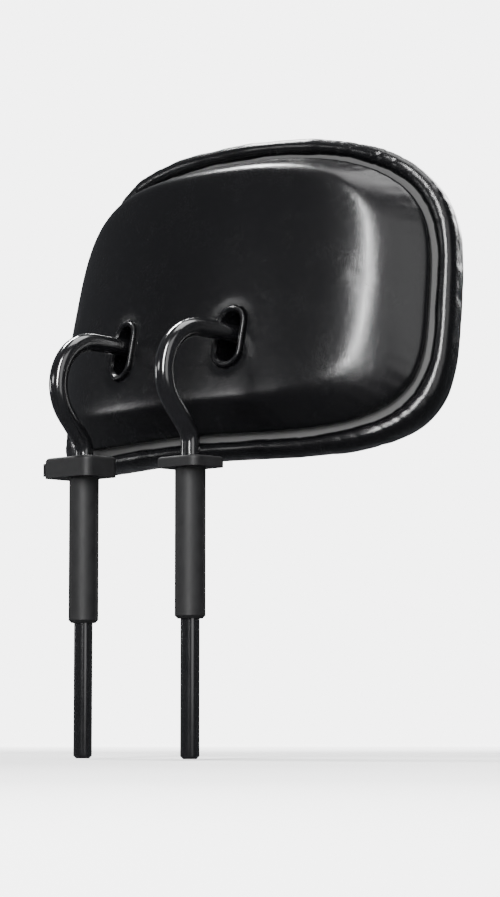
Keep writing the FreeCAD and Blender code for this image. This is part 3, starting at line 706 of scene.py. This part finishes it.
def plain_material(name, low, high, rough, metallic=0.0, grain=400.0, stretch=None):
    """Varied, slightly uneven material for the pieces inside the pad."""
    m = Nodes(name)
    where = m.where()
    if stretch:
        mapping = m.add("ShaderNodeMapping", Vector=where, Scale=stretch)
        where = mapping.outputs["Vector"]
    mottle = m.noise(where, grain, 5.0, 0.6)
    m.set(m.shader, "Base Color", m.colours(mottle, low, high))
    m.set(m.shader, "Roughness", m.spread(mottle, 0.2, 0.8, rough - 0.08, rough + 0.08))
    m.set(m.shader, "Metallic", metallic)
    m.set(m.shader, "Normal", m.bump(mottle, 0.0002, 0.5))
    return m.material


def dress(obj, material):
    obj.data.materials.clear()
    obj.data.materials.append(material)
    for polygon in obj.data.polygons:
        polygon.material_index = 0


# ---------- studio ----------

def area_light(name, place, target, size, power):
    data = bpy.data.lights.new(name, "AREA")
    data.shape = "RECTANGLE"
    data.size, data.size_y = size
    data.energy = power
    light = bpy.data.objects.new(name, data)
    light.location = place
    light.rotation_euler = (Vector(target) - Vector(place)).to_track_quat("-Z", "Y").to_euler()
    bpy.context.scene.collection.objects.link(light)


def floor_material():
    m = Nodes("pale_floor")
    mottle = m.noise(m.where(), 6.0, 3.0)
    m.set(m.shader, "Base Color", m.colours(mottle, (0.74, 0.74, 0.74), (0.78, 0.78, 0.78)))
    m.set(m.shader, "Roughness", 0.7)
    far = m.add("ShaderNodeVectorMath", Vector=m.where())
    far.operation = "LENGTH"
    m.set(m.shader, "Emission Color", (1, 1, 1, 1))
    m.set(m.shader, "Emission Strength", m.spread(far.outputs["Value"], 0.8, 3.0, 0.0, BACKDROP))
    return m.material


FLOOR_RADIUS = 6.0
FLOOR_SIDES = 128


def make_floor():
    """A round pale floor under the posts' feet, kept out of the black leather's reflections."""
    level = cad_bounds[0][2] - 0.0005
    verts = [(0, 0, level)]
    for k in range(FLOOR_SIDES):
        angle = 2 * math.pi * k / FLOOR_SIDES
        verts.append((FLOOR_RADIUS * math.cos(angle), FLOOR_RADIUS * math.sin(angle), level))
    faces = [(0, 1 + k, 1 + (k + 1) % FLOOR_SIDES) for k in range(FLOOR_SIDES)]
    mesh = bpy.data.meshes.new("studio_floor")
    mesh.from_pydata(verts, [], faces)
    floor = bpy.data.objects.new("studio_floor", mesh)
    bpy.context.scene.collection.objects.link(floor)
    dress(floor, floor_material())
    floor.visible_glossy = False


def make_world():
    """White backdrop to the eye, but only a dim even light on the object."""
    world = bpy.data.worlds.new("studio")
    world.use_nodes = True
    tree = world.node_tree
    seen = tree.nodes["Background"]
    seen.inputs["Color"].default_value = (1, 1, 1, 1)
    seen.inputs["Strength"].default_value = BACKDROP
    dim = tree.nodes.new("ShaderNodeBackground")
    dim.inputs["Color"].default_value = (0.9, 0.93, 1.0, 1)
    dim.inputs["Strength"].default_value = AMBIENT
    path = tree.nodes.new("ShaderNodeLightPath")
    mix = tree.nodes.new("ShaderNodeMixShader")
    tree.links.new(path.outputs["Is Camera Ray"], mix.inputs[0])
    tree.links.new(dim.outputs[0], mix.inputs[1])
    tree.links.new(seen.outputs[0], mix.inputs[2])
    tree.links.new(mix.outputs[0], tree.nodes["World Output"].inputs["Surface"])
    bpy.context.scene.world = world


# Name, direction from the pad, distance, size, power in watts. The places follow from what
# the leather mirrors towards the camera: the ridge of the dome, its top edge and its low middle.
LIGHTS = [
    ("ridge_strip", (-0.48, 0.72, 0.40), 1.5, (0.13, 1.2), 62),
    ("top_left_box", (0.47, -0.05, 0.78), 1.6, (0.8, 0.09), 46),
    ("low_fill", (0.36, 0.88, 0.18), 1.4, (0.40, 0.26), 3.0),
    ("low_left_strip", (0.84, 0.42, 0.04), 1.4, (0.08, 0.30), 1.6),
    ("right_fill", (-0.90, 0.25, 0.36), 1.8, (0.9, 1.8), 10),
    ("front_box", (0.35, -0.90, 0.55), 2.0, (1.4, 1.2), 60),
    ("overhead", (-0.2, -0.2, 1.0), 1.9, (1.2, 1.2), 24),
]
BACKDROP = 5.5           # brightness behind the object, which only the camera sees
AMBIENT = 0.12           # brightness of the even light on the object


def make_studio():
    make_world()
    centre = PAD_ORIGIN
    for name, direction, distance, size, power in LIGHTS:
        place = centre + np.array(direction) / np.linalg.norm(direction) * distance
        area_light(name, tuple(place), tuple(centre), size, power)


# The camera stands where the photograph's does: behind the chair, on the sitter's right,
# below the headrest. It looks at the headrest with a longer lens.
CAMERA_PLACE = (-1.111, 1.037, -0.140)
CAMERA_TARGET = (-0.028, -0.057, 0.015)
CAMERA_LENS = 116.0


def make_camera():
    data = bpy.data.cameras.new("camera")
    data.sensor_fit = "VERTICAL"
    data.sensor_height = 36.0
    data.lens = CAMERA_LENS
    data.clip_end = 30
    camera = bpy.data.objects.new("camera", data)
    camera.location = CAMERA_PLACE
    look = Vector(CAMERA_TARGET) - Vector(CAMERA_PLACE)
    camera.rotation_euler = look.to_track_quat("-Z", "Y").to_euler()
    bpy.context.scene.collection.objects.link(camera)
    bpy.context.scene.camera = camera


# ---------- assembly ----------

def dress_cad_nodes():
    looks = {
        "black_steel": gloss_steel_material(),
        "gloss_plastic": gloss_plastic_material(),
        "guide_plastic": matt_plastic_material(),
        "nylon": plain_material("natural_nylon", (0.45, 0.43, 0.36), (0.6, 0.58, 0.5), 0.45),
        # The plywood is painted near black as painted shade, for the dark inside that shows through the
        # slots.
        "plywood": plain_material("painted_shade_plywood", (0.02, 0.016, 0.013), (0.05, 0.04, 0.033), 0.6,
                                  grain=60.0, stretch=(1, 8, 8)),
        "zinc_steel": plain_material("zinc_plate", (0.35, 0.35, 0.36), (0.6, 0.6, 0.62), 0.35, 1.0),
        "spring_wire": plain_material("spring_wire", (0.22, 0.22, 0.22), (0.4, 0.4, 0.4), 0.3, 1.0),
        "foam": plain_material("charcoal_foam", (0.02, 0.02, 0.02), (0.06, 0.06, 0.06), 0.9, grain=1500.0),
        "leather": leather_material(),
    }
    slots = {entry["node"]: entry["material_slot"] for entry in frame["record"]["subparts"]}
    for name, node in frame["nodes"].items():
        dress(node, looks[slots[name]])
        shade_by_angle(node)
    return looks


def shade_by_angle(obj):
    make_active(obj)
    bpy.ops.object.shade_smooth_by_angle(angle=math.radians(32))


def main():
    looks = dress_cad_nodes()
    cushion = make_front_cushion()
    panel = make_back_panel()
    stitches = make_stitches(cushion)
    thicken(cushion)
    thicken(panel)
    leather = looks["leather"]
    for piece, material in ((cushion, leather), (panel, leather), (stitches, thread_material())):
        dress(piece, material)
        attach(piece, "pad")
    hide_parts("front_cover")
    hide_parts("back_cover")
    make_floor()
    make_studio()
    make_camera()


main()
